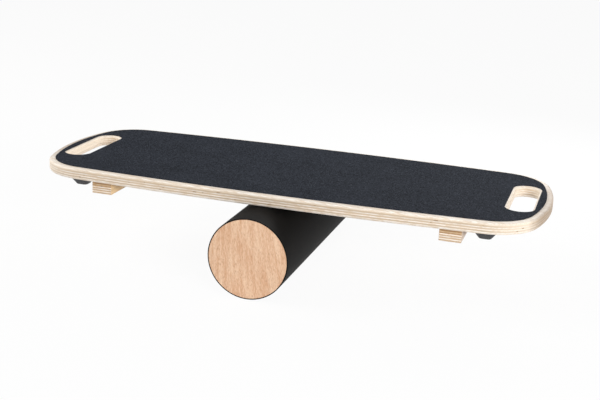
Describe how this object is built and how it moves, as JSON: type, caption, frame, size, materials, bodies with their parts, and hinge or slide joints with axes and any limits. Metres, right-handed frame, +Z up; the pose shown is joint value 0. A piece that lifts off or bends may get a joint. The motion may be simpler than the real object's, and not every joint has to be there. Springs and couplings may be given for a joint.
{
  "type": "rola bola",
  "caption": "Balance deck with bowed rounded outline, hand slots, grip top, stop blocks and rubber feet, on a loose rubber-covered roller with wooden ends.",
  "frame": {"origin": "on the floor under the middle of the deck, at the bottom centre of the bounding box", "axes": "+X along the deck, +Y along the roller away from the front, +Z up"},
  "size_m": [0.75, 0.413, 0.1321],
  "materials": {
    "birch_ply": "sanded and oiled birch plywood with its plies showing on the edges",
    "grip": "blue-black abrasive grip sheet",
    "block_ply": "sawn birch plywood",
    "foot_rubber": "moulded matt rubber",
    "zinc_steel": "zinc-plated steel",
    "cover_rubber": "matt black rubber sleeve",
    "core_plastic": "extruded grey pipe",
    "disc_beech": "planed beech board with short ray flecks"
  },
  "bodies": {
    "deck": {"deck_board": "birch_ply", "grip_sheet": "grip", "stop_block_left": "block_ply", "stop_block_right": "block_ply", "stop_screw_left_1": "zinc_steel", "stop_screw_left_2": "zinc_steel", "stop_screw_left_3": "zinc_steel", "stop_screw_right_1": "zinc_steel", "stop_screw_right_2": "zinc_steel", "stop_screw_right_3": "zinc_steel", "rubber_foot_front_left": "foot_rubber", "rubber_foot_rear_left": "foot_rubber", "rubber_foot_front_right": "foot_rubber", "rubber_foot_rear_right": "foot_rubber", "foot_washer_front_left": "zinc_steel", "foot_washer_rear_left": "zinc_steel", "foot_washer_front_right": "zinc_steel", "foot_washer_rear_right": "zinc_steel", "foot_screw_front_left": "zinc_steel", "foot_screw_rear_left": "zinc_steel", "foot_screw_front_right": "zinc_steel", "foot_screw_rear_right": "zinc_steel"},
    "roller_core": {"roller_core_tube": "core_plastic"},
    "roller": {"roller_cover": "cover_rubber", "roller_end_disc_front": "disc_beech", "roller_end_disc_rear": "disc_beech"}
  },
  "joints": [
    {"name": "roller_travel", "type": "slide", "parent": "deck", "child": "roller_core", "axis": [1, 0, 0], "range_m": [-0.196, 0.2]},
    {"name": "roller_spin", "type": "hinge", "parent": "roller_core", "child": "roller", "pos_m": [-0.002, 0, 0.057], "axis": [0, 1, 0], "range_deg": [-202, 198]}
  ],
  "couplings": [
    {"joint": "roller_spin", "follows": "roller_travel", "rad_per_m": -17.544}
  ]
}
